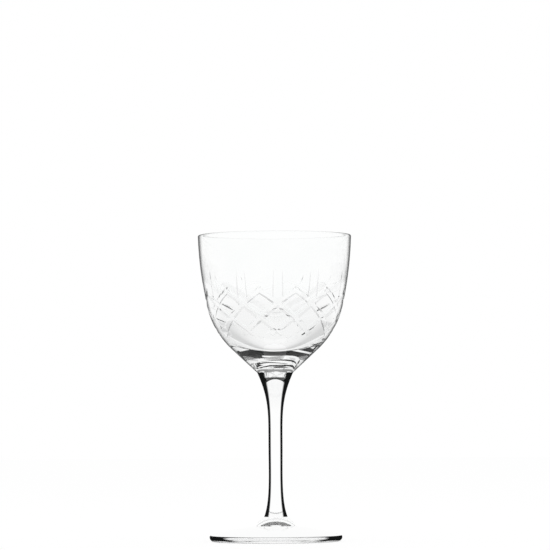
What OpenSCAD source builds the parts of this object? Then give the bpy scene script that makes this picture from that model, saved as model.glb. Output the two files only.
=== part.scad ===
// Stemmed cocktail glass with a wheel-cut lattice round its bowl.
// Bowl, stem and foot are three pieces of clear glass, fused hot end to end.
// Millimetres and degrees, +Z up: the glass stands on Z = 0 with its axis on Z.

/* [Bowl] */
// Height of the bowl from its seam to the top of the rim
bowl_h = 64.8; // [60:0.1:70]
// Outer diameter of the rim
rim_d = 72.2; // [66:0.1:79]
// Thickness of the wall at the rim, rounded over by the fire
rim_wall = 1.3; // [1:0.05:1.8]
// Lean of the outer wall from upright at the rim
rim_lean = 1.9; // [0.5:0.1:4]
// Radius of the long arc down the outer wall
wall_arc_r = 178; // [150:1:210]
// Radius of the belly arc below it
belly_arc_r = 40; // [35:0.5:45]
// Slope of the base cone from upright
base_slope = 47; // [43:0.5:51]
// Lean of the inner wall from upright at the rim
inside_lean = 2.4; // [1:0.1:4]
// Radius of the long arc down the inner wall
inside_arc_r = 178; // [150:1:210]
// Height of that arc, from the rim down
inside_arc_h = 20; // [14:0.5:24]
// Length over which the inside leaves that arc, on its way down to the bottom
inside_wall_pull = 12; // [8:0.5:15]
// Length over which the inside comes level in its middle
inside_floor_pull = 11; // [8:0.5:14]
// Solid glass under the inside bottom, down to the seam
base_t = 16.4; // [14:0.1:18]

/* [Cut lattice] */
// Number of repeats round the bowl
cut_count = 12; // [8:1:16]
// Turn of the lattice about the axis
cut_turn = 2.5; // [-15:0.5:15]
// Height of the lower tips of the diamonds above the seam
cut_low_h = 17.7; // [16:0.1:20]
// Rise of a diagonal cut from its lower tip to its upper end
cut_rise = 18.1; // [15:0.1:21]
// Half turn of a diagonal cut, in repeats of the pattern
cut_reach = 1.5; // [1.5:1:2.5]
// Depth of a diagonal cut in its middle
cut_depth = 0.28; // [0.2:0.01:0.4]
// Width of the flat bottom of a diagonal cut
cut_flat_w = 1.2; // [0.8:0.05:1.6]
// Extra depth of the cuts that lean to the left, made second and right through the first
second_cut_extra = 0.03; // [0.02:0.01:0.06]
// Slope of the two sides of every cut, from the skin
cut_side_slope = 30; // [24:1:40]
// Height of an upright cut, above the diagonals' upper crossing
flute_h = 18.5; // [14:0.1:21]
// Height of its lower end above that crossing
flute_start_h = 0.9; // [0.6:0.1:1.2]
// Depth at its lower end
flute_depth = 0.25; // [0.2:0.01:0.35]
// Width of its flat bottom
flute_flat_w = 4; // [3:0.1:4.6]

/* [Stem] */
// Length of the stem between its seams
stem_l = 67.6; // [50:0.1:85]
// Diameter of the fused end under the bowl
stem_top_d = 16.8; // [14:0.1:19]
// Lean of the stem's outline at that end
stem_top_lean = 24; // [15:0.5:32]
// Length over which the upper flare pulls in
stem_top_pull = 13.4; // [10:0.1:17]
// Diameter of the waist
waist_d = 6.6; // [5.5:0.1:8]
// Height of the waist above the lower seam
waist_h = 34; // [24:0.5:42]
// Length over which the waist stays slim, above and below it
waist_pull = 14.5; // [10:0.1:18]
// Diameter of the fused end on the foot
stem_foot_d = 11; // [9.5:0.1:13]
// Lean of the stem's outline at that end
stem_foot_lean = 21; // [12:0.5:30]
// Length over which the lower flare pulls in
stem_foot_pull = 8; // [6:0.1:11]

/* [Foot] */
// Diameter of the foot
foot_d = 62.3; // [54:0.1:70]
// Height of the foot from the table to its seam
foot_h = 11.6; // [10.8:0.1:14]
// Height of the foot's widest place
foot_edge_h = 2.2; // [1.8:0.1:3]
// Rounding of the foot's upper edge
foot_edge_r = 0.7; // [0.4:0.05:1.1]
// Slope of the foot's top at its edge, from level
foot_edge_slope = 16; // [13:0.5:18]
// Radius of the low dome of the foot's top
foot_dome_r = 150; // [130:1:200]
// Diameter of the button at the foot's middle
button_d = 19; // [16:0.1:22]
// Bulge radius of the button
button_arc_r = 10; // [6:0.1:20]
// Width of the ring that the glass stands on
rest_w = 2.6; // [1.5:0.1:4]
// Height of the hollow under the foot
hollow_h = 1.2; // [0.5:0.1:2]

/* [Hidden] */
$fn = 96;
GLASS = [0.86, 0.9, 0.91, 0.45];

// Largest gap between a curved outline and its straight steps
chord_gap = 0.015;
// Number of straight steps along a pulled curve
pull_steps = 14;
// How far a cutting tool stands out of the glass
tool_proud = 1.2;
// How far a cutting tool runs on past the ends of its cut, in degrees
tool_overrun = 4;

foot_seam_z = foot_h;
bowl_seam_z = foot_seam_z + stem_l;
rim_z = bowl_seam_z + bowl_h;
lip_r = rim_wall / 2;
lip_z = rim_z - lip_r;

// Outlines are [radius, height] points. A lean is measured from straight down, towards the axis.

// Step along an arc of radius r that turns from one lean to another on the way down
function turned(from, to, r) = r * [cos(to) - cos(from), sin(from) - sin(to)];

// Number of straight steps for a turn on an arc of radius r
function steps(turn, r) = max(2, ceil(abs(turn) / (2 * acos(1 - chord_gap / r))));

// Points along that arc after its start
function arc_down(start, from, to, r) =
    let (n = steps(to - from, r))
    [for (i = [1:n]) start + turned(from, from + (to - from) * i / n, r)];

// Lean at which arc r1 hands over to arc r2 so that r2 runs on into a straight line to the end point
function knee_lean(start, lean, r1, r2, slope, end) =
    let (across = [cos(slope), -sin(slope)])
    slope - acos((r1 * cos(slope - lean) - r2 - (start - end) * across) / (r1 - r2));

// Outline of two arcs and a straight run, each tangent to the next
function two_arcs(start, lean, r1, r2, slope, end) =
    let (knee = knee_lean(start, lean, r1, r2, slope, end))
    let (middle = start + turned(lean, knee, r1))
    concat([start], arc_down(start, lean, knee, r1), arc_down(middle, knee, slope, r2), [end]);

// Points of a cubic curve that leaves p and q along the given pulls
function pulled(p, p_pull, q, q_pull) =
    [for (i = [0:pull_steps])
        let (t = i / pull_steps)
        let (u = 1 - t)
        u * u * u * p + 3 * t * u * u * (p + p_pull) + 3 * t * t * u * (q + q_pull) + t * t * t * q];

// Points of an arc of radius r between two points, bulging to the left of the way from p to q
function bulge(p, q, r) =
    let (half = norm(q - p) / 2)
    let (way = (q - p) / norm(q - p))
    let (left = [-way[1], way[0]])
    let (centre = (p + q) / 2 - left * sqrt(max(0, r * r - half * half)))
    let (open = asin(min(1, half / r)))
    let (n = steps(2 * open, r))
    [for (i = [0:n])
        let (a = open * (2 * i / n - 1))
        centre + r * (left * cos(a) + way * sin(a))];

// Points in the other order, without the first one, and without both end ones
function reversed(points) = [for (i = [len(points) - 1:-1:0]) points[i]];
function later(points) = [for (i = [1:len(points) - 1]) points[i]];
function inner(points) = [for (i = [1:len(points) - 2]) points[i]];

// Outer skin of the bowl
skin_start = [rim_d / 2, lip_z];
skin_end = [stem_top_d / 2, bowl_seam_z];
skin_knee = knee_lean(skin_start, rim_lean, wall_arc_r, belly_arc_r, base_slope, skin_end);
knee_point = skin_start + turned(rim_lean, skin_knee, wall_arc_r);
wall_centre = skin_start - wall_arc_r * [cos(rim_lean), -sin(rim_lean)];
belly_centre = knee_point - belly_arc_r * [cos(skin_knee), -sin(skin_knee)];

function on_wall(z) = z > knee_point[1];
function skin_arc_r(z) = on_wall(z) ? wall_arc_r : belly_arc_r;
function skin_centre(z) = on_wall(z) ? wall_centre : belly_centre;
function skin_lean(z) = asin((skin_centre(z)[1] - z) / skin_arc_r(z));

// Point of a cut: turned about the axis, at a height on the skin and a depth under it
function under_skin(turn, z, depth) =
    let (lean = skin_lean(z))
    let (p = skin_centre(z) + (skin_arc_r(z) - depth) * [cos(lean), -sin(lean)])
    [p[0] * sin(turn), -p[0] * cos(turn), p[1]];

// Centre of the circle through three points in space
function circle_centre(a, b, c) =
    let (u = b - a)
    let (v = c - a)
    let (w = cross(u, v))
    a + (cross(w, u) * (v * v) + cross(v, w) * (u * u)) / (2 * w * w);

// Matrix that moves a shape to a place, with its own axes along three given directions
function placed(x, y, z, at) =
    [[x[0], y[0], z[0], at[0]], [x[1], y[1], z[1], at[1]], [x[2], y[2], z[2], at[2]], [0, 0, 0, 1]];

// Section of a cutting wheel with its flat edge at distance r, widening outwards
module wheel_section(r, flat_w) {
    half_flat = flat_w / 2;
    half_w = half_flat + tool_proud / tan(cut_side_slope);
    polygon([[r, -half_flat], [r + tool_proud, -half_w], [r + tool_proud, half_w], [r, half_flat]]);
}

// Tool whose edge runs along the arc through three points
module wheel_arc(a, b, c) {
    centre = circle_centre(a, b, c);
    r = norm(a - centre);
    x = (a - centre) / r;
    z = cross(b - a, c - a) / norm(cross(b - a, c - a));
    y = cross(z, x);
    sweep = atan2((c - centre) * y, (c - centre) * x);
    multmatrix(placed(x, y, z, centre))
        rotate([0, 0, -tool_overrun])
            rotate_extrude(angle = sweep + 2 * tool_overrun)
                wheel_section(r, cut_flat_w);
}

// One diagonal cut from its lower tip, leaning to the right (hand 1) or to the left (hand -1)
module diagonal_cut(turn, hand) {
    reach = hand * cut_reach * 360 / cut_count;
    low = bowl_seam_z + cut_low_h;
    extra = hand > 0 ? 0 : second_cut_extra;
    wheel_arc(
        under_skin(turn, low, extra),
        under_skin(turn + reach / 2, low + cut_rise / 2, cut_depth + extra),
        under_skin(turn + reach, low + cut_rise, extra));
}

// One upright cut, wide, straight and running out at its upper end
module upright_cut(turn) {
    crossing_z = bowl_seam_z + cut_low_h + cut_rise / cut_reach;
    low = under_skin(0, crossing_z + flute_start_h, flute_depth);
    top = under_skin(0, crossing_z + flute_h, 0);
    way = (top - low) / norm(top - low);
    out = cross([1, 0, 0], way);
    rotate([0, 0, turn])
        multmatrix(placed(out, [1, 0, 0], way, low))
            linear_extrude(height = norm(top - low) + tool_proud)
                wheel_section(0, flute_flat_w);
}

// All the cuts of the lattice
module lattice() {
    for (i = [0:cut_count - 1]) {
        turn = cut_turn + i * 360 / cut_count;
        diagonal_cut(turn, 1);
        diagonal_cut(turn, -1);
        upright_cut(turn);
    }
}

// Inside of the bowl from the lip down: the wall's arc, then one curve down to the floor's middle
function bowl_inside(start) =
    let (low_lean = asin(sin(inside_lean) + inside_arc_h / inside_arc_r))
    let (wall = arc_down(start, inside_lean, low_lean, inside_arc_r))
    let (leave = -inside_wall_pull * [sin(low_lean), cos(low_lean)])
    let (floor_point = [0, bowl_seam_z + base_t])
    let (bottom = pulled(wall[len(wall) - 1], leave, floor_point, [inside_floor_pull, 0]))
    concat([start], wall, later(bottom));

// Closed outline of the bowl: rim, outer skin, seam, and the inside from its floor to the rim
module bowl_outline() {
    inside_start = [rim_d / 2 - rim_wall, lip_z];
    outside = two_arcs(skin_start, rim_lean, wall_arc_r, belly_arc_r, base_slope, skin_end);
    inside = bowl_inside(inside_start);
    lip = bulge(inside_start, skin_start, lip_r);
    seam = [[0, bowl_seam_z]];
    polygon(concat(outside, seam, reversed(inside), inner(lip)));
}

// Bowl with its cut lattice
module bowl() {
    color(GLASS)
        difference() {
            rotate_extrude()
                bowl_outline();
            lattice();
        }
}

// Solid stem, flared towards both seams from its waist
module stem() {
    top = [stem_top_d / 2, bowl_seam_z];
    waist = [waist_d / 2, foot_seam_z + waist_h];
    low = [stem_foot_d / 2, foot_seam_z];
    slim = [0, waist_pull];
    top_pull = stem_top_pull * [-sin(stem_top_lean), -cos(stem_top_lean)];
    low_pull = stem_foot_pull * [-sin(stem_foot_lean), cos(stem_foot_lean)];
    upper = pulled(top, top_pull, waist, slim);
    lower = pulled(waist, -slim, low, low_pull);
    color(GLASS)
        rotate_extrude()
            polygon(concat(upper, later(lower), [[0, low[1]], [0, top[1]]]));
}

// Foot with its button, domed top, rounded edge and hollow underside
module foot() {
    foot_r = foot_d / 2;
    edge_centre = [foot_r - foot_edge_r, foot_edge_h];
    edge_top = edge_centre + foot_edge_r * [sin(foot_edge_slope), cos(foot_edge_slope)];
    button_r = button_d / 2;
    crease_slope = asin(sin(foot_edge_slope) - (edge_top[0] - button_r) / foot_dome_r);
    crease = [button_r, edge_top[1] + foot_dome_r * (cos(crease_slope) - cos(foot_edge_slope))];
    button_top = [stem_foot_d / 2, foot_seam_z];
    rest_out = foot_r - foot_edge_h;
    rest_in = rest_out - rest_w;
    hollow_r = (rest_in * rest_in + hollow_h * hollow_h) / (2 * hollow_h);
    dome = bulge(crease, edge_top, foot_dome_r);
    edge = bulge(edge_top, [foot_r, foot_edge_h], foot_edge_r);
    under_edge = bulge([foot_r, foot_edge_h], [rest_out, 0], foot_edge_h);
    hollow = bulge([0, hollow_h], [rest_in, 0], hollow_r);
    button = bulge(button_top, crease, button_arc_r);
    color(GLASS)
        rotate_extrude()
            polygon(concat([[0, foot_seam_z]], button, later(dome), later(edge),
                later(under_edge), reversed(hollow)));
}

bowl();
stem();
foot();
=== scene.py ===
"""Studio picture of a clear cocktail glass with a wheel-cut bowl.

The bowl, the stem and the foot are turned from their outlines, and the lattice is ground out of the
bowl. Lengths are in metres, with +Z up the axis of the glass and -Y towards the camera.
"""

import logging
import math
from dataclasses import dataclass, field
from enum import Enum
from typing import Callable, Sequence

import bpy
from mathutils import Matrix, Vector


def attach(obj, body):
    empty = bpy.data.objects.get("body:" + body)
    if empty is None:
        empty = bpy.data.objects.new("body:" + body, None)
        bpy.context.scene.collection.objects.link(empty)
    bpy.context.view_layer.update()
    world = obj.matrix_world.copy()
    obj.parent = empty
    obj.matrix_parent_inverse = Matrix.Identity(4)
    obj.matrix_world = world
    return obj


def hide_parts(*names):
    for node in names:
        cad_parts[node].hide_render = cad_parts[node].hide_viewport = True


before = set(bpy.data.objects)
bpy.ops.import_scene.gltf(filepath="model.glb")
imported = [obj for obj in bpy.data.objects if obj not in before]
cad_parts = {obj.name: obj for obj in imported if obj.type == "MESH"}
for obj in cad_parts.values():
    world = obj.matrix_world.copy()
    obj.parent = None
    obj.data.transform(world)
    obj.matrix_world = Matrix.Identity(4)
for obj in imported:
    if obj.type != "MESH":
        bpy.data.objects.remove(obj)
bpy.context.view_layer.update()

MM = 0.001
UP = Vector((0.0, 0.0, 1.0))
WELD = 0.002 * MM
SEAM_GAP = 0.001 * MM
log = logging.getLogger("cocktail_glass")


class Hand(Enum):
    """Way that a diagonal cut leans on its way up."""

    RIGHT = 1
    LEFT = -1


class Outline:
    """Points of radius and height that a turned piece follows."""

    def __init__(self, start: Sequence[float], pitch: float) -> None:
        """Starts an outline.

        Args:
            start: Radius and height of the first point.
            pitch: Longest step between points.
        """
        self.points: list[Vector] = [Vector(start)]
        self.pitch = pitch

    def steps(self, length: float) -> int:
        """Number of steps along a run of this length."""
        return max(2, math.ceil(length / self.pitch))

    def line(self, end: Sequence[float]) -> "Outline":
        """Adds a straight run.

        Args:
            end: Radius and height where the run ends.

        Returns:
            The outline itself.
        """
        start = self.points[-1]
        stop = Vector(end)
        count = self.steps((stop - start).length)
        self.points += [start.lerp(stop, i / count) for i in range(1, count + 1)]
        return self

    def arc_down(self, lean: float, end_lean: float, radius: float) -> "Outline":
        """Adds an arc that turns inwards on its way down.

        Args:
            lean: Lean from straight down at the start of the arc, in radians.
            end_lean: Lean at its end.
            radius: Radius of the arc.

        Returns:
            The outline itself.
        """
        start = self.points[-1]
        count = self.steps(abs(end_lean - lean) * radius)
        for i in range(1, count + 1):
            here = lean + (end_lean - lean) * i / count
            step = Vector((math.cos(here) - math.cos(lean), math.sin(lean) - math.sin(here)))
            self.points.append(start + radius * step)
        return self

    def bulge(self, end: Sequence[float], radius: float) -> "Outline":
        """Adds an arc that bulges to the left of the way to its end.

        Args:
            end: Radius and height where the arc ends.
            radius: Radius of the arc.

        Returns:
            The outline itself.
        """
        start = self.points[-1]
        stop = Vector(end)
        half = (stop - start).length / 2
        way = (stop - start).normalized()
        left = Vector((-way.y, way.x))
        centre = (start + stop) / 2 - left * math.sqrt(max(0.0, radius**2 - half**2))
        spread = math.asin(min(1.0, half / radius))
        count = self.steps(2 * spread * radius)
        for i in range(1, count + 1):
            angle = spread * (2 * i / count - 1)
            self.points.append(centre + radius * (left * math.cos(angle) + way * math.sin(angle)))
        return self

    def pull(self, leave: Vector, end: Sequence[float], arrive: Vector) -> "Outline":
        """Adds a cubic curve.

        Args:
            leave: Pull on the curve at its start.
            end: Radius and height where the curve ends.
            arrive: Pull at its end.

        Returns:
            The outline itself.
        """
        start = self.points[-1]
        stop = Vector(end)
        count = self.steps((stop - start).length)
        for i in range(1, count + 1):
            t = i / count
            u = 1 - t
            near = u**3 * start + 3 * t * u**2 * (start + leave)
            self.points.append(near + 3 * t**2 * u * (stop + arrive) + t**3 * stop)
        return self


class Bench:
    """Modelling steps that use Blender's own operators on one piece at a time."""

    @staticmethod
    def clear() -> None:
        """Leaves edit mode and deselects everything."""
        if bpy.context.object is not None and bpy.context.object.mode != "OBJECT":
            bpy.ops.object.mode_set(mode="OBJECT")
        bpy.ops.object.select_all(action="DESELECT")

    @staticmethod
    def trace(name: str, points: Sequence[Vector], closed: bool = False) -> bpy.types.Object:
        """Draws a line of edges from point to point.

        Args:
            name: Name of the new piece.
            points: Places of the points.
            closed: Whether the last point is joined to the first.

        Returns:
            The piece, left in edit mode with all of it selected.
        """
        Bench.clear()
        bpy.ops.mesh.primitive_plane_add(size=MM)
        piece = bpy.context.object
        piece.name = name
        piece.data.name = name
        bpy.ops.object.mode_set(mode="EDIT")
        bpy.ops.mesh.merge(type="CENTER")
        bpy.ops.transform.translate(value=points[0])
        for start, stop in zip(points, points[1:]):
            bpy.ops.mesh.extrude_vertices_move(TRANSFORM_OT_translate={"value": stop - start})
        bpy.ops.mesh.select_all(action="SELECT")
        if closed:
            bpy.ops.mesh.edge_face_add()
            bpy.ops.mesh.delete(type="ONLY_FACE")
            bpy.ops.mesh.select_all(action="SELECT")
        return piece

    @staticmethod
    def mend() -> None:
        """Merges doubles, closes holes and turns all faces outwards in edit mode."""
        bpy.ops.mesh.select_all(action="SELECT")
        bpy.ops.mesh.remove_doubles(threshold=WELD)
        bpy.ops.mesh.fill_holes(sides=4)
        bpy.ops.mesh.select_all(action="SELECT")
        bpy.ops.mesh.normals_make_consistent(inside=False)

    @staticmethod
    def turn(name: str, outline: Sequence[Vector], segments: int) -> bpy.types.Object:
        """Turns an outline once round the axis of the glass.

        Args:
            name: Name of the new piece.
            outline: Points of radius and height, from axis to axis.
            segments: Number of steps round.

        Returns:
            The closed piece, in object mode.
        """
        piece = Bench.trace(name, [Vector((p.x, 0.0, p.y)) for p in outline])
        bpy.ops.mesh.spin(steps=segments, angle=math.tau, center=(0.0, 0.0, 0.0), axis=UP)
        Bench.mend()
        bpy.ops.object.mode_set(mode="OBJECT")
        return piece

    @staticmethod
    def repeat_round(count: int) -> None:
        """Copies what is selected in edit mode to all of its places round the axis.

        Args:
            count: Number of places.
        """
        whole = math.tau * (count - 1) / count
        bpy.ops.mesh.spin(steps=count - 1, dupli=True, angle=whole, center=(0.0, 0.0, 0.0), axis=UP)
        bpy.ops.mesh.select_all(action="SELECT")
        bpy.ops.mesh.normals_make_consistent(inside=False)
        bpy.ops.object.mode_set(mode="OBJECT")

    @staticmethod
    def grind(piece: bpy.types.Object, tool: bpy.types.Object) -> None:
        """Cuts a tool's shape out of a piece and takes the tool away.

        Args:
            piece: Piece that is cut.
            tool: Closed shape of what is cut away.
        """
        Bench.clear()
        piece.select_set(True)
        bpy.context.view_layer.objects.active = piece
        cut = piece.modifiers.new("cut", "BOOLEAN")
        cut.operation = "DIFFERENCE"
        cut.solver = "MANIFOLD"
        cut.object = tool
        bpy.ops.object.modifier_apply(modifier=cut.name)
        bpy.data.meshes.remove(tool.data)

    @staticmethod
    def smooth(piece: bpy.types.Object, angle: float) -> None:
        """Shades a piece smooth, apart from its sharp edges.

        Args:
            piece: Piece to shade.
            angle: Least turn between faces that counts as a sharp edge, in degrees.
        """
        Bench.clear()
        piece.select_set(True)
        bpy.context.view_layer.objects.active = piece
        bpy.ops.object.shade_smooth_by_angle(angle=math.radians(angle))


class Term:
    """Value in a node tree, with arithmetic that adds Math nodes."""

    def __init__(self, sheet: "NodeSheet", socket: bpy.types.NodeSocket) -> None:
        """Wraps an output socket of a node in a sheet."""
        self.sheet = sheet
        self.socket = socket

    def other(self, name: str) -> "Term":
        """Another output of the same node."""
        return Term(self.sheet, self.socket.node.outputs[name])

    def _math(self, operation: str, first: object, second: object) -> "Term":
        """Adds a Math node on two values."""
        return self.sheet.add("ShaderNodeMath", {"operation": operation}, {0: first, 1: second})

    def __add__(self, value: object) -> "Term":
        """Sum with a value."""
        return self._math("ADD", self, value)

    def __radd__(self, value: object) -> "Term":
        """Sum of a number and this value."""
        return self._math("ADD", value, self)

    def __sub__(self, value: object) -> "Term":
        """Difference from a value."""
        return self._math("SUBTRACT", self, value)

    def __rsub__(self, value: object) -> "Term":
        """Difference of a number from this value."""
        return self._math("SUBTRACT", value, self)

    def __mul__(self, value: object) -> "Term":
        """Product with a value."""
        return self._math("MULTIPLY", self, value)

    def __rmul__(self, value: object) -> "Term":
        """Product of a number and this value."""
        return self._math("MULTIPLY", value, self)

    def larger(self, value: object) -> "Term":
        """The larger of this value and another."""
        return self._math("MAXIMUM", self, value)

    def ramp(self, low: float, high: float) -> "Term":
        """Smooth rise from 0 to 1 between two values."""
        return self.sheet.add(
            "ShaderNodeMapRange",
            {"interpolation_type": "SMOOTHSTEP"},
            {"Value": self, "From Min": low, "From Max": high},
        )


class NodeSheet:
    """Node tree of a material or of the world."""

    def __init__(self, owner: bpy.types.ID) -> None:
        """Starts an empty sheet.

        Args:
            owner: Material or world whose nodes are cleared.
        """
        owner.use_nodes = True
        self.tree = owner.node_tree
        self.tree.nodes.clear()

    def add(
        self,
        kind: str,
        settings: dict[str, object] | None = None,
        inputs: dict[str | int, object] | None = None,
        output: str | int = 0,
    ) -> Term:
        """Adds a node of any kind.

        Args:
            kind: Node type.
            settings: Properties of the node, which are set first.
            inputs: Values or terms for its input sockets, by name or number.
            output: Output socket that is returned.

        Returns:
            The chosen output.
        """
        node = self.tree.nodes.new(kind)
        for name, value in (settings or {}).items():
            setattr(node, name, value)
        for key, value in (inputs or {}).items():
            if isinstance(value, Term):
                self.tree.links.new(value.socket, node.inputs[key])
            else:
                node.inputs[key].default_value = value
        return Term(self, node.outputs[output] if node.outputs else None)


@dataclass(frozen=True)
class GlassFinish:
    """Clear glass with the slight waviness of hand work, painted shade at its edges and a painted
    glow for light thrown back inside it.
    """

    name: str
    tint: tuple[float, float, float] = (0.995, 0.998, 0.997)
    deep_tint: tuple[float, float, float] = (0.982, 0.989, 0.987)
    # Painted shade: colour of the dark edges, and the facing range and shares over which camera rays
    # get it.
    painted_edge_shade: tuple[float, float, float] = (0.03, 0.032, 0.032)
    edge_from: float = 0.74
    edge_to: float = 0.9
    edge_least: float = 0.0
    edge_share: float = 0.0
    ior: float = 1.5
    roughness: float = 0.0
    ripple_size: float = 9.0 * MM
    ripple_height: float = 0.004 * MM
    drawn: tuple[float, float, float] = (1.0, 1.0, 1.0)
    cord_size: float = 25.0 * MM
    cord_band: tuple[float, float] = (0.35, 0.75)
    lamp_share: float = 0.8
    # Painted light: levels of the glow below and above wall_z, and the times light is thrown back
    # inside before it glows.
    glow: float = 0.96
    wall_glow: float = 0.3
    wall_z: tuple[float, float] = (121.0 * MM, 124.0 * MM)
    glow_after: float = 2.0

    def material(self) -> bpy.types.Material:
        """Makes the material.

        Returns:
            The new material.
        """
        material = bpy.data.materials.new(self.name)
        sheet = NodeSheet(material)
        place = sheet.add("ShaderNodeTexCoord", output="Object")
        stretched = sheet.add("ShaderNodeMapping", {}, {"Vector": place, "Scale": self.drawn})
        ripple = sheet.add(
            "ShaderNodeTexNoise",
            {},
            {"Vector": stretched, "Scale": 1.0 / self.ripple_size, "Detail": 2.0, "Roughness": 0.45},
        )
        normal = sheet.add(
            "ShaderNodeBump", {}, {"Strength": 1.0, "Distance": self.ripple_height, "Height": ripple}
        )
        cords = sheet.add(
            "ShaderNodeTexNoise",
            {},
            {"Vector": place, "Scale": 1.0 / self.cord_size, "Detail": 3.0, "Distortion": 0.6},
        )
        body = sheet.add(
            "ShaderNodeMix",
            {"data_type": "RGBA"},
            {"Factor": cords.ramp(*self.cord_band), 6: (*self.tint, 1.0), 7: (*self.deep_tint, 1.0)},
            2,
        )
        facing = sheet.add("ShaderNodeLayerWeight", {}, {"Blend": 0.5}, "Facing")
        path = sheet.add("ShaderNodeLightPath", output="Is Camera Ray")
        glass = sheet.add(
            "ShaderNodeBsdfPrincipled",
            {},
            {
                "Base Color": body,
                "Roughness": self.roughness,
                "IOR": self.ior,
                "Transmission Weight": 1.0,
                "Normal": normal,
            },
        )
        clear = sheet.add("ShaderNodeBsdfTransparent", {}, {"Color": (1.0, 1.0, 1.0, 1.0)})
        # Painted light: where light has been thrown back again and again inside the glass, it ends in
        # a pale emission that glows though the glass is no lamp, dimmer above wall_z.
        height = sheet.add("ShaderNodeSeparateXYZ", {}, {"Vector": place}, "Z")
        full = (*(part * self.glow for part in self.tint), 1.0)
        dim = (*(part * self.wall_glow for part in self.tint), 1.0)
        painted_glow_colour = sheet.add(
            "ShaderNodeMix",
            {"data_type": "RGBA"},
            {"Factor": height.ramp(*self.wall_z), 6: full, 7: dim},
            2,
        )
        glow = sheet.add("ShaderNodeEmission", {}, {"Color": painted_glow_colour, "Strength": 1.0})
        painted_glow_mask = path.other("Glossy Depth").ramp(self.glow_after, self.glow_after + 1.0)
        ended = sheet.add("ShaderNodeMixShader", {}, {0: painted_glow_mask, 1: glass, 2: glow})
        # Painted shade: where the glass turns away from the eye, camera rays get a dark emission in
        # place of the glass, standing in for the dark edges that refraction would give.
        line = sheet.add(
            "ShaderNodeEmission", {}, {"Color": (*self.painted_edge_shade, 1.0), "Strength": 1.0}
        )
        rise = facing.ramp(self.edge_from, self.edge_to) * (self.edge_share - self.edge_least)
        painted_edge_mask = (self.edge_least + rise) * path
        painted_edge_mix = sheet.add("ShaderNodeMixShader", {}, {0: painted_edge_mask, 1: ended, 2: line})
        # Most of the lamp's light passes, so the shadow on the table stays faint.
        lamp = path.other("Is Shadow Ray") * self.lamp_share
        mixed = sheet.add("ShaderNodeMixShader", {}, {0: lamp, 1: painted_edge_mix, 2: clear})
        sheet.add("ShaderNodeOutputMaterial", {}, {"Surface": mixed})
        return material


@dataclass(frozen=True)
class FusedFinish:
    """Face inside the glass where two pieces have run together and nothing shows."""

    name: str = "fused_seam"

    def material(self) -> bpy.types.Material:
        """Makes the material.

        Returns:
            The new material.
        """
        material = bpy.data.materials.new(self.name)
        sheet = NodeSheet(material)
        clear = sheet.add("ShaderNodeBsdfTransparent", {}, {"Color": (1.0, 1.0, 1.0, 1.0)})
        sheet.add("ShaderNodeOutputMaterial", {}, {"Surface": clear})
        return material


@dataclass(frozen=True)
class RestFinish:
    """Underside of the foot, with painted light: seen from inside the glass it glows white, standing
    in for the table seen through it.
    """

    name: str = "underside_painted_light"
    tint: tuple[float, float, float] = (0.99, 0.995, 0.993)
    # Painted light: strength of the white glow and the facing range over which it fades.
    white: float = 0.97
    steep: float = 0.55
    shallow: float = 0.75
    ior: float = 1.5
    lamp_share: float = 0.8

    def material(self) -> bpy.types.Material:
        """Makes the material.

        Returns:
            The new material.
        """
        material = bpy.data.materials.new(self.name)
        sheet = NodeSheet(material)
        glass = sheet.add(
            "ShaderNodeBsdfPrincipled",
            {},
            {
                "Base Color": (*self.tint, 1.0),
                "Roughness": 0.0,
                "IOR": self.ior,
                "Transmission Weight": 1.0,
            },
        )
        # Painted light: seen from inside the glass, the underside shows a white emission in place of
        # the table beyond it.
        table = sheet.add(
            "ShaderNodeEmission", {}, {"Color": (1.0, 1.0, 1.0, 1.0), "Strength": self.white}
        )
        facing = sheet.add("ShaderNodeLayerWeight", {}, {"Blend": 0.5}, "Facing")
        within = sheet.add("ShaderNodeNewGeometry", output="Backfacing")
        share = within * (1.0 - facing.ramp(self.steep, self.shallow))
        painted_table_light = sheet.add("ShaderNodeMixShader", {}, {0: share, 1: glass, 2: table})
        clear = sheet.add("ShaderNodeBsdfTransparent", {}, {"Color": (1.0, 1.0, 1.0, 1.0)})
        lamp = sheet.add("ShaderNodeLightPath", output="Is Shadow Ray") * self.lamp_share
        mixed = sheet.add("ShaderNodeMixShader", {}, {0: lamp, 1: painted_table_light, 2: clear})
        sheet.add("ShaderNodeOutputMaterial", {}, {"Surface": mixed})
        return material


def heights(piece: bpy.types.Object, face: bpy.types.MeshPolygon) -> list[float]:
    """Heights of the corners of a piece's face."""
    return [piece.data.vertices[i].co.z for i in face.vertices]


def coat(
    piece: bpy.types.Object,
    finish: GlassFinish | FusedFinish | RestFinish,
    chosen: Callable[[bpy.types.MeshPolygon], bool],
) -> int:
    """Gives the chosen faces of a piece a finish of their own.

    Args:
        piece: Piece to coat.
        finish: Finish of the chosen faces.
        chosen: Test that tells which faces they are.

    Returns:
        The number of chosen faces.
    """
    slot = len(piece.data.materials)
    piece.data.materials.append(finish.material())
    faces = [face for face in piece.data.polygons if chosen(face)]
    for face in faces:
        face.material_index = slot
    return len(faces)


def dress(piece: bpy.types.Object, finish: GlassFinish, seams: Sequence[float]) -> None:
    """Gives a piece its glass, and its fused faces the finish that doesn't show.

    Args:
        piece: Piece to dress.
        finish: Finish of its open surface.
        seams: Heights of its fused faces.
    """

    def fused(face: bpy.types.MeshPolygon) -> bool:
        """Whether a face lies level at the height of a seam."""
        corners = heights(piece, face)
        return any(max(abs(z - seam) for z in corners) < SEAM_GAP for seam in seams)

    piece.data.materials.clear()
    coat(piece, finish, lambda face: True)
    coat(piece, FusedFinish(), fused)


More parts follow.
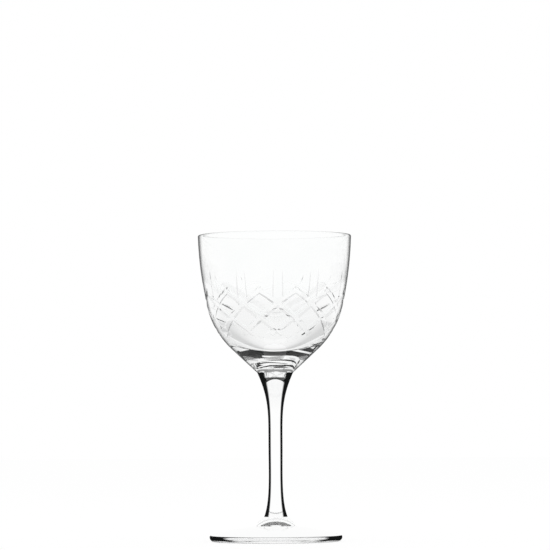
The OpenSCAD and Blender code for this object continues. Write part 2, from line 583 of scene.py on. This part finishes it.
@dataclass
class CutLattice:
    """Crossing diagonal cuts with a wide upright cut above each upper crossing."""

    count: int = 12
    turn: float = 2.5
    low_h: float = 17.7 * MM
    rise: float = 18.1 * MM
    reach: float = 1.5
    depth: float = 0.28 * MM
    flat_w: float = 1.2 * MM
    second_extra: float = 0.03 * MM
    side_slope: float = 30.0
    flute_h: float = 18.5 * MM
    flute_start_h: float = 0.9 * MM
    flute_depth: float = 0.25 * MM
    flute_flat_w: float = 4.0 * MM
    tool_proud: float = 1.2 * MM
    tool_overrun: float = 4.0
    tool_steps: int = 72

    def section(self, edge: Vector, out: Vector, side: Vector, flat_w: float) -> list[Vector]:
        """Corners of a cutting wheel's section.

        Args:
            edge: Middle of the wheel's flat edge.
            out: Direction out of the glass.
            side: Direction across the cut.
            flat_w: Width of the flat edge.

        Returns:
            The two corners of the edge and the two outer ones.
        """
        half_flat = side * flat_w / 2
        half = half_flat + side * self.tool_proud / math.tan(math.radians(self.side_slope))
        top = edge + out * self.tool_proud
        return [edge - half_flat, edge + half_flat, top + half, top - half]

    def diagonals(self, bowl: "Bowl", hand: Hand) -> bpy.types.Object:
        """Models all the diagonal cuts of one hand.

        Args:
            bowl: Bowl that is cut.
            hand: Way that the cuts lean.

        Returns:
            The tool shapes as one object.
        """
        extra = 0.0 if hand is Hand.RIGHT else self.second_extra
        turn = math.radians(self.turn)
        reach = hand.value * self.reach * math.tau / self.count
        low = bowl.seam_z + self.low_h
        first = bowl.under_skin(turn, low, extra)
        middle = bowl.under_skin(turn + reach / 2, low + self.rise / 2, self.depth + extra)
        last = bowl.under_skin(turn + reach, low + self.rise, extra)
        across = (middle - first).cross(last - first)
        a = middle - first
        b = last - first
        centre = first + (across.cross(a) * b.dot(b) + b.cross(across) * a.dot(a)) / (
            2 * across.dot(across)
        )
        axis = across.normalized()
        start = (first - centre).normalized()
        ahead = axis.cross(start)
        sweep = math.atan2((last - centre).dot(ahead), (last - centre).dot(start))
        overrun = math.radians(self.tool_overrun)
        out = Matrix.Rotation(-overrun, 3, axis) @ start
        edge = centre + out * (first - centre).length
        corners = self.section(edge, out, axis, self.flat_w)
        tool = Bench.trace(f"diagonal_{hand.name.lower()}", corners, closed=True)
        bpy.ops.mesh.spin(
            steps=self.tool_steps, angle=-(sweep + 2 * overrun), center=centre, axis=axis
        )
        Bench.mend()
        Bench.repeat_round(self.count)
        return tool

    def uprights(self, bowl: "Bowl") -> bpy.types.Object:
        """Models all the upright cuts.

        Args:
            bowl: Bowl that is cut.

        Returns:
            The tool shapes as one object.
        """
        turn = math.radians(self.turn)
        crossing = bowl.seam_z + self.low_h + self.rise / self.reach
        low = bowl.under_skin(turn, crossing + self.flute_start_h, self.flute_depth)
        top = bowl.under_skin(turn, crossing + self.flute_h, 0.0)
        way = (top - low).normalized()
        side = Vector((math.cos(turn), math.sin(turn), 0.0))
        out = side.cross(way)
        tool = Bench.trace("upright", self.section(low, out, side, self.flute_flat_w), closed=True)
        length = (top - low).length + self.tool_proud
        bpy.ops.mesh.extrude_region_move(TRANSFORM_OT_translate={"value": way * length})
        Bench.mend()
        Bench.repeat_round(self.count)
        return tool


@dataclass
class Bowl:
    """Open bowl with a rounded rim, a thick solid base and a cut lattice."""

    seam_z: float = 79.2 * MM
    height: float = 64.8 * MM
    rim_d: float = 72.2 * MM
    rim_wall: float = 1.3 * MM
    rim_lean: float = 1.9
    wall_arc_r: float = 178.0 * MM
    belly_arc_r: float = 40.0 * MM
    base_slope: float = 47.0
    base_d: float = 16.8 * MM
    inside_lean: float = 2.4
    inside_arc_r: float = 178.0 * MM
    inside_arc_h: float = 20.0 * MM
    inside_wall_pull: float = 12.0 * MM
    inside_floor_pull: float = 11.0 * MM
    base_t: float = 16.4 * MM
    pitch: float = 0.68 * MM
    lip_pitch: float = 0.064 * MM
    segments: int = 384
    smooth_angle: float = 6.0
    cut_turn: float = 14.0
    cut_reach: float = 0.6 * MM
    cut_below: float = 3.0 * MM
    lattice: CutLattice = field(default_factory=CutLattice)
    # Sides of the cuts: polished glass with painted shade, a dark emission for camera rays that is at
    # least edge_least everywhere and deepens where they turn from the eye.
    ground: GlassFinish = GlassFinish(
        "cut_side_painted_shade_glass", edge_from=0.35, edge_to=0.9, edge_least=0.12, edge_share=0.85
    )
    # Painted shade: the bowl's skin goes dark where it turns from the eye.
    finish: GlassFinish = GlassFinish("cut_bowl_glass", edge_from=0.68, edge_to=0.86, edge_share=0.85)

    @property
    def lip_z(self) -> float:
        """Height where the walls pass into the rounded lip."""
        return self.seam_z + self.height - self.rim_wall / 2

    @staticmethod
    def knee(start: Vector, lean: float, r1: float, r2: float, slope: float, end: Vector) -> float:
        """Finds where one arc hands over to the next.

        Args:
            start: Start of the first arc.
            lean: Lean at that start, in radians.
            r1: Radius of the first arc.
            r2: Radius of the second arc.
            slope: Lean of the straight run after the second arc.
            end: End of that run.

        Returns:
            Lean at the handover, in radians.
        """
        across = Vector((math.cos(slope), -math.sin(slope)))
        gap = r1 * math.cos(slope - lean) - r2 - (start - end).dot(across)
        return slope - math.acos(gap / (r1 - r2))

    def under_skin(self, turn: float, z: float, depth: float) -> Vector:
        """Finds a point below the outer skin.

        Args:
            turn: Turn about the axis from the front, in radians.
            z: Height on the skin.
            depth: Depth under the skin.

        Returns:
            The point.
        """
        lean = math.radians(self.rim_lean)
        start = Vector((self.rim_d / 2, self.lip_z))
        end = Vector((self.base_d / 2, self.seam_z))
        slope = math.radians(self.base_slope)
        knee = self.knee(start, lean, self.wall_arc_r, self.belly_arc_r, slope, end)
        centre = start - self.wall_arc_r * Vector((math.cos(lean), -math.sin(lean)))
        radius = self.wall_arc_r
        if z < centre.y - radius * math.sin(knee):
            centre += (radius - self.belly_arc_r) * Vector((math.cos(knee), -math.sin(knee)))
            radius = self.belly_arc_r
        here = math.asin((centre.y - z) / radius)
        place = centre + (radius - depth) * Vector((math.cos(here), -math.sin(here)))
        return Vector((place.x * math.sin(turn), -place.x * math.cos(turn), place.y))

    def outside(self) -> Outline:
        """Draws the outer skin from the lip down: two arcs and the base cone.

        Returns:
            The outline.
        """
        start = Vector((self.rim_d / 2, self.lip_z))
        end = Vector((self.base_d / 2, self.seam_z))
        lean = math.radians(self.rim_lean)
        slope = math.radians(self.base_slope)
        knee = self.knee(start, lean, self.wall_arc_r, self.belly_arc_r, slope, end)
        skin = Outline(start, self.pitch).arc_down(lean, knee, self.wall_arc_r)
        return skin.arc_down(knee, slope, self.belly_arc_r).line(end)

    def inside(self) -> Outline:
        """Draws the inside from the lip down: the wall's arc and the drawn-in bottom.

        Returns:
            The outline.
        """
        start = Vector((self.rim_d / 2 - self.rim_wall, self.lip_z))
        floor = Vector((0.0, self.seam_z + self.base_t))
        lean = math.radians(self.inside_lean)
        end_lean = math.asin(math.sin(lean) + self.inside_arc_h / self.inside_arc_r)
        leave = -self.inside_wall_pull * Vector((math.sin(end_lean), math.cos(end_lean)))
        arrive = Vector((self.inside_floor_pull, 0.0))
        wall = Outline(start, self.pitch).arc_down(lean, end_lean, self.inside_arc_r)
        return wall.pull(leave, floor, arrive)

    def build(self) -> bpy.types.Object:
        """Turns the bowl, grinds the lattice and dresses it.

        Returns:
            The finished bowl.
        """
        inside = self.inside()
        outside = self.outside()
        lip = Outline(inside.points[0], self.lip_pitch).bulge(outside.points[0], self.rim_wall / 2)
        seam = [Vector((0.0, self.seam_z))]
        points = inside.points[::-1] + lip.points[1:-1] + outside.points + seam
        bowl = Bench.turn("cut_bowl", points, self.segments)
        Bench.grind(bowl, self.lattice.diagonals(self, Hand.RIGHT))
        Bench.grind(bowl, self.lattice.diagonals(self, Hand.LEFT))
        Bench.grind(bowl, self.lattice.uprights(self))
        Bench.smooth(bowl, self.smooth_angle)
        dress(bowl, self.finish, [self.seam_z])
        log.info("sides of cuts: %d faces", coat(bowl, self.ground, self.on_cut_side))
        return bowl

    def on_cut_side(self, face: bpy.types.MeshPolygon) -> bool:
        """Tells whether a face is a slanted side of a cut.

        Args:
            face: Face of the cut bowl.

        Returns:
            Whether it lies just under the outer skin and leans away from it.
        """
        place = face.center
        low = self.seam_z + self.lattice.low_h - self.cut_below
        if not low < place.z < self.lip_z - self.rim_wall:
            return False
        turn = math.atan2(place.x, -place.y)
        skin = self.under_skin(turn, place.z, 0.0)
        out = (skin - self.under_skin(turn, place.z, MM)).normalized()
        shallow = (skin - place).dot(out) < self.cut_reach
        return shallow and face.normal.angle(out) > math.radians(self.cut_turn)


@dataclass
class Stem:
    """Solid drawn stem, flared towards both seams from its waist."""

    foot_seam_z: float = 11.6 * MM
    length: float = 67.6 * MM
    top_d: float = 16.8 * MM
    top_lean: float = 24.0
    top_pull: float = 13.4 * MM
    waist_d: float = 6.6 * MM
    waist_h: float = 34.0 * MM
    waist_pull: float = 14.5 * MM
    foot_d: float = 11.0 * MM
    foot_lean: float = 21.0
    foot_pull: float = 8.0 * MM
    pitch: float = 0.4 * MM
    segments: int = 192
    smooth_angle: float = 18.0
    # Painted shade: the stem's sides go fully black where they turn from the eye.
    finish: GlassFinish = GlassFinish(
        "drawn_stem_glass",
        drawn=(1.0, 1.0, 0.15),
        edge_from=0.21,
        edge_to=0.32,
        edge_share=1.0,
        painted_edge_shade=(0.008, 0.0085, 0.0085),
    )

    def build(self) -> bpy.types.Object:
        """Turns the stem and dresses it.

        Returns:
            The finished stem.
        """
        top_z = self.foot_seam_z + self.length
        top = Vector((self.top_d / 2, top_z))
        waist = Vector((self.waist_d / 2, self.foot_seam_z + self.waist_h))
        low = Vector((self.foot_d / 2, self.foot_seam_z))
        slim = Vector((0.0, self.waist_pull))
        lean = math.radians(self.top_lean)
        leave = -self.top_pull * Vector((math.sin(lean), math.cos(lean)))
        lean = math.radians(self.foot_lean)
        arrive = self.foot_pull * Vector((-math.sin(lean), math.cos(lean)))
        side = Outline(top, self.pitch).pull(leave, waist, slim).pull(-slim, low, arrive)
        points = [Vector((0.0, top_z)), *side.points, Vector((0.0, self.foot_seam_z))]
        stem = Bench.turn("drawn_stem", points, self.segments)
        Bench.smooth(stem, self.smooth_angle)
        dress(stem, self.finish, [top_z, self.foot_seam_z])
        return stem


@dataclass
class Foot:
    """Round foot with a button in its middle, a low dome and a hollow underside."""

    diameter: float = 62.3 * MM
    height: float = 11.6 * MM
    seam_d: float = 11.0 * MM
    edge_h: float = 2.2 * MM
    edge_r: float = 0.7 * MM
    edge_slope: float = 16.0
    dome_r: float = 150.0 * MM
    button_d: float = 19.0 * MM
    button_arc_r: float = 10.0 * MM
    rest_w: float = 2.6 * MM
    hollow_h: float = 1.2 * MM
    under_h: float = 1.3 * MM
    under_facing: float = -0.9
    pitch: float = 0.4 * MM
    edge_pitch: float = 0.12 * MM
    segments: int = 320
    smooth_angle: float = 18.0
    finish: GlassFinish = GlassFinish("pressed_foot_glass", glow_after=9.0)
    # Painted shade: the foot's rounded edge goes black where it turns from the eye.
    rim: GlassFinish = GlassFinish(
        "foot_edge_glass",
        painted_edge_shade=(0.008, 0.0085, 0.0085),
        edge_from=0.3,
        edge_to=0.42,
        edge_share=1.0,
        glow_after=9.0,
    )

    def build(self) -> bpy.types.Object:
        """Turns the foot and dresses it.

        Returns:
            The finished foot.
        """
        slope = math.radians(self.edge_slope)
        radius = self.diameter / 2
        tilt = Vector((math.sin(slope), math.cos(slope)))
        edge_top = Vector((radius - self.edge_r, self.edge_h)) + self.edge_r * tilt
        button_r = self.button_d / 2
        crease_slope = math.asin(math.sin(slope) - (edge_top.x - button_r) / self.dome_r)
        rise = self.dome_r * (math.cos(crease_slope) - math.cos(slope))
        crease = Vector((button_r, edge_top.y + rise))
        rest_out = radius - self.edge_h
        rest_in = rest_out - self.rest_w
        hollow_r = (rest_in**2 + self.hollow_h**2) / (2 * self.hollow_h)
        top = Outline((self.seam_d / 2, self.height), self.pitch)
        top.bulge(crease, self.button_arc_r).bulge(edge_top, self.dome_r)
        rim = Outline(edge_top, self.edge_pitch).bulge((radius, self.edge_h), self.edge_r)
        rim.bulge((rest_out, 0.0), self.edge_h)
        hollow = Outline((0.0, self.hollow_h), self.pitch).bulge((rest_in, 0.0), hollow_r)
        points = [Vector((0.0, self.height))] + top.points + rim.points[1:] + hollow.points[::-1]
        foot = Bench.turn("pressed_foot", points, self.segments)
        Bench.smooth(foot, self.smooth_angle)

        def under(face: bpy.types.MeshPolygon) -> bool:
            """Whether a face is part of the underside."""
            return max(heights(foot, face)) < self.under_h and face.normal.z < self.under_facing

        def on_edge(face: bpy.types.MeshPolygon) -> bool:
            """Whether a face is part of the rounded edge."""
            return face.center.xy.length > edge_top.x and face.center.z > self.under_h / 2

        dress(foot, self.finish, [self.height])
        coat(foot, RestFinish(), under)
        coat(foot, self.rim, on_edge)
        return foot


@dataclass
class Studio:
    """Pale table, white room, black cards, a soft lamp and the camera."""

    table_size: float = 8.0
    table_colour: tuple[float, float, float] = (0.95, 0.95, 0.95)
    table_white: float = 0.85
    # Painted shade on the table, seen in reflections near the glass and through the glass towards the
    # back.
    table_mirrored: float = 0.05
    table_open: tuple[float, float] = (0.2, 0.45)
    table_far: float = 0.7
    table_back: float = 0.35
    card_grey: float = 0.012
    roof_r: float = 190.0 * MM
    roof_y: float = 150.0 * MM
    roof_z: float = 250.0 * MM
    roof_segments: int = 64
    skirt_z: float = 118.0 * MM
    skirt_segments: int = 32
    bar_half: tuple[float, float] = (34.0 * MM, 8.0 * MM)
    bar_fade_x: tuple[float, float] = (0.85, 1.1)
    bar_fade_y: tuple[float, float] = (0.75, 1.2)
    bar_y: float = 29.0 * MM
    softbox_size: tuple[float, float] = (0.5, 0.35)
    softbox_height: float = 1.4
    softbox_power: float = 1.6
    camera_distance: float = 1.535
    camera_height: float = 54.0 * MM
    aim_z: float = 125.2 * MM
    aim_x: float = -0.2 * MM
    roll: float = 0.3
    lens: float = 213.5
    sensor: float = 36.0
    view_end: float = 100.0

    def table(self) -> bpy.types.Object:
        """Lays the pale table, with painted shade where it is seen in and through the glass.

        Returns:
            The table.
        """
        Bench.clear()
        bpy.ops.mesh.primitive_plane_add(size=self.table_size)
        table = bpy.context.object
        table.name = "table"
        material = bpy.data.materials.new("pale_table")
        sheet = NodeSheet(material)
        matt = sheet.add("ShaderNodeBsdfDiffuse", {}, {"Color": (*self.table_colour, 1.0)})
        path = sheet.add("ShaderNodeLightPath", output="Is Camera Ray")
        mirrored = path.other("Is Glossy Ray")
        through = path.other("Is Transmission Ray")
        place = sheet.add("ShaderNodeTexCoord", output="Object")
        away = sheet.add("ShaderNodeSeparateXYZ", {}, {"Vector": place}, "Y")
        # Painted shade: after light is thrown back inside the glass, the table seen through it
        # darkens towards the back, down to table_far.
        thrown = path.other("Glossy Depth").ramp(0.0, 1.0)
        painted_back_shade = 1.0 - thrown * away.ramp(0.0, self.table_back) * (1.0 - self.table_far)
        # Painted shade: seen in reflections, the table is dark near the glass, at table_mirrored, and
        # turns white over the table_open distances.
        out = sheet.add("ShaderNodeVectorMath", {"operation": "LENGTH"}, {0: place}, "Value")
        painted_reflection_shade = self.table_mirrored + out.ramp(*self.table_open) * (1.0 - self.table_mirrored)
        level = path + (mirrored - through) * painted_reflection_shade + through * painted_back_shade
        white = sheet.add("ShaderNodeEmission", {}, {"Color": level, "Strength": 1.0})
        share = path * self.table_white + mirrored + through
        mixed = sheet.add("ShaderNodeMixShader", {}, {0: share, 1: matt, 2: white})
        sheet.add("ShaderNodeOutputMaterial", {}, {"Surface": mixed})
        table.data.materials.append(material)
        return table

    def surroundings(self) -> bpy.types.World:
        """Sets a white room, which lights the glass at a plain level.

        Returns:
            The world.
        """
        world = bpy.data.worlds.new("white_room")
        bpy.context.scene.world = world
        sheet = NodeSheet(world)
        room = sheet.add("ShaderNodeBackground", {}, {"Color": (1.0, 1.0, 1.0, 1.0), "Strength": 1.0})
        sheet.add("ShaderNodeOutputWorld", {}, {"Surface": room})
        return world

    def black(
        self, name: str, least: int, most: int, walls: int, bar: bool = False
    ) -> bpy.types.Material:
        """Makes the black of a card, which is white to light thrown back too few or too many times.

        Args:
            name: Name of the material.
            least: Fewest times that light is thrown back inside the glass.
            most: Most times.
            walls: Most surfaces that light passes through.
            bar: Whether a bright bar runs across the middle of the card.

        Returns:
            The new material.
        """
        material = bpy.data.materials.new(name)
        sheet = NodeSheet(material)
        path = sheet.add("ShaderNodeLightPath", output="Glossy Depth")
        passed = path.other("Transmission Depth")
        thrown = path * passed.ramp(0.0, 1.0)
        few = 1.0 - passed.ramp(walls, walls + 1.0)
        dark = few * thrown.ramp(least - 1.0, least) * (1.0 - thrown.ramp(most, most + 1.0))
        lit = 1.0 - dark * (1.0 - self.card_grey)
        if bar:
            place = sheet.add("ShaderNodeTexCoord", output="Object")
            across = sheet.add("ShaderNodeSeparateXYZ", {}, {"Vector": place}, "X")
            half_x, half_y = self.bar_half
            along = across.other("Y") + self.roof_y - self.bar_y
            past_x = (across * across).ramp(*(part * half_x**2 for part in self.bar_fade_x))
            past_y = (along * along).ramp(*(part * half_y**2 for part in self.bar_fade_y))
            lit = lit.larger((1.0 - past_x) * (1.0 - past_y))
        black = sheet.add("ShaderNodeEmission", {}, {"Color": lit, "Strength": 1.0})
        sheet.add("ShaderNodeOutputMaterial", {}, {"Surface": black})
        return material

    @staticmethod
    def hide(card: bpy.types.Object) -> None:
        """Takes a card out of every view but the one through the glass.

        Args:
            card: Card to hide.
        """
        card.visible_camera = False
        card.visible_glossy = False
        card.visible_diffuse = False
        card.visible_shadow = False

    def cards(self) -> list[bpy.types.Object]:
        """Hangs a black card above and behind the bowl's mouth, with a half-round skirt behind it.

        Returns:
            The card and its skirt.
        """
        Bench.clear()
        bpy.ops.mesh.primitive_circle_add(
            vertices=self.roof_segments,
            radius=self.roof_r,
            fill_type="NGON",
            location=(0.0, self.roof_y, self.roof_z),
        )
        roof = bpy.context.object
        roof.name = "card_over_mouth"
        roof.data.materials.append(self.black("black_card", least=0, most=3, walls=4, bar=True))
        self.hide(roof)
        side = Vector((self.roof_r, self.roof_y, 0.0))
        skirt = Bench.trace("card_behind", [side + UP * self.roof_z, side + UP * self.skirt_z])
        middle = (0.0, self.roof_y, 0.0)
        bpy.ops.mesh.spin(steps=self.skirt_segments, angle=math.pi, center=middle, axis=UP)
        bpy.ops.object.mode_set(mode="OBJECT")
        skirt.data.materials.append(self.black("black_skirt", least=2, most=3, walls=4))
        self.hide(skirt)
        return [roof, skirt]

    def softbox(self) -> bpy.types.Object:
        """Hangs a soft lamp over the glass.

        Returns:
            The lamp.
        """
        Bench.clear()
        bpy.ops.object.light_add(type="AREA", location=(0.0, 0.0, self.softbox_height))
        lamp = bpy.context.object
        lamp.data.shape = "RECTANGLE"
        lamp.data.size, lamp.data.size_y = self.softbox_size
        lamp.data.energy = self.softbox_power
        lamp.visible_glossy = False
        return lamp

    def camera(self) -> bpy.types.Object:
        """Sets the camera at the photograph's viewing angle.

        Returns:
            The camera.
        """
        Bench.clear()
        pitch = math.atan2(self.aim_z - self.camera_height, self.camera_distance)
        bpy.ops.object.camera_add(
            location=(self.aim_x, -self.camera_distance, self.camera_height),
            rotation=(math.pi / 2 + pitch, math.radians(self.roll), 0.0),
        )
        camera = bpy.context.object
        camera.data.sensor_width = self.sensor
        camera.data.lens = self.lens
        camera.data.clip_end = self.view_end
        bpy.context.scene.camera = camera
        return camera


def main() -> None:
    """Builds the glass and its studio."""
    logging.basicConfig(level=logging.INFO, format="%(name)s: %(message)s")
    studio = Studio()
    studio.camera()
    studio.table()
    studio.surroundings()
    studio.cards()
    studio.softbox()
    for node, part in (("bowl", Bowl()), ("stem", Stem()), ("foot", Foot())):
        piece = part.build()
        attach(piece, "root")
        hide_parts(node)
        log.info("%s: %d faces", piece.name, len(piece.data.polygons))
    bpy.context.scene.view_settings.view_transform = "Standard"


if __name__ == "__main__":
    main()
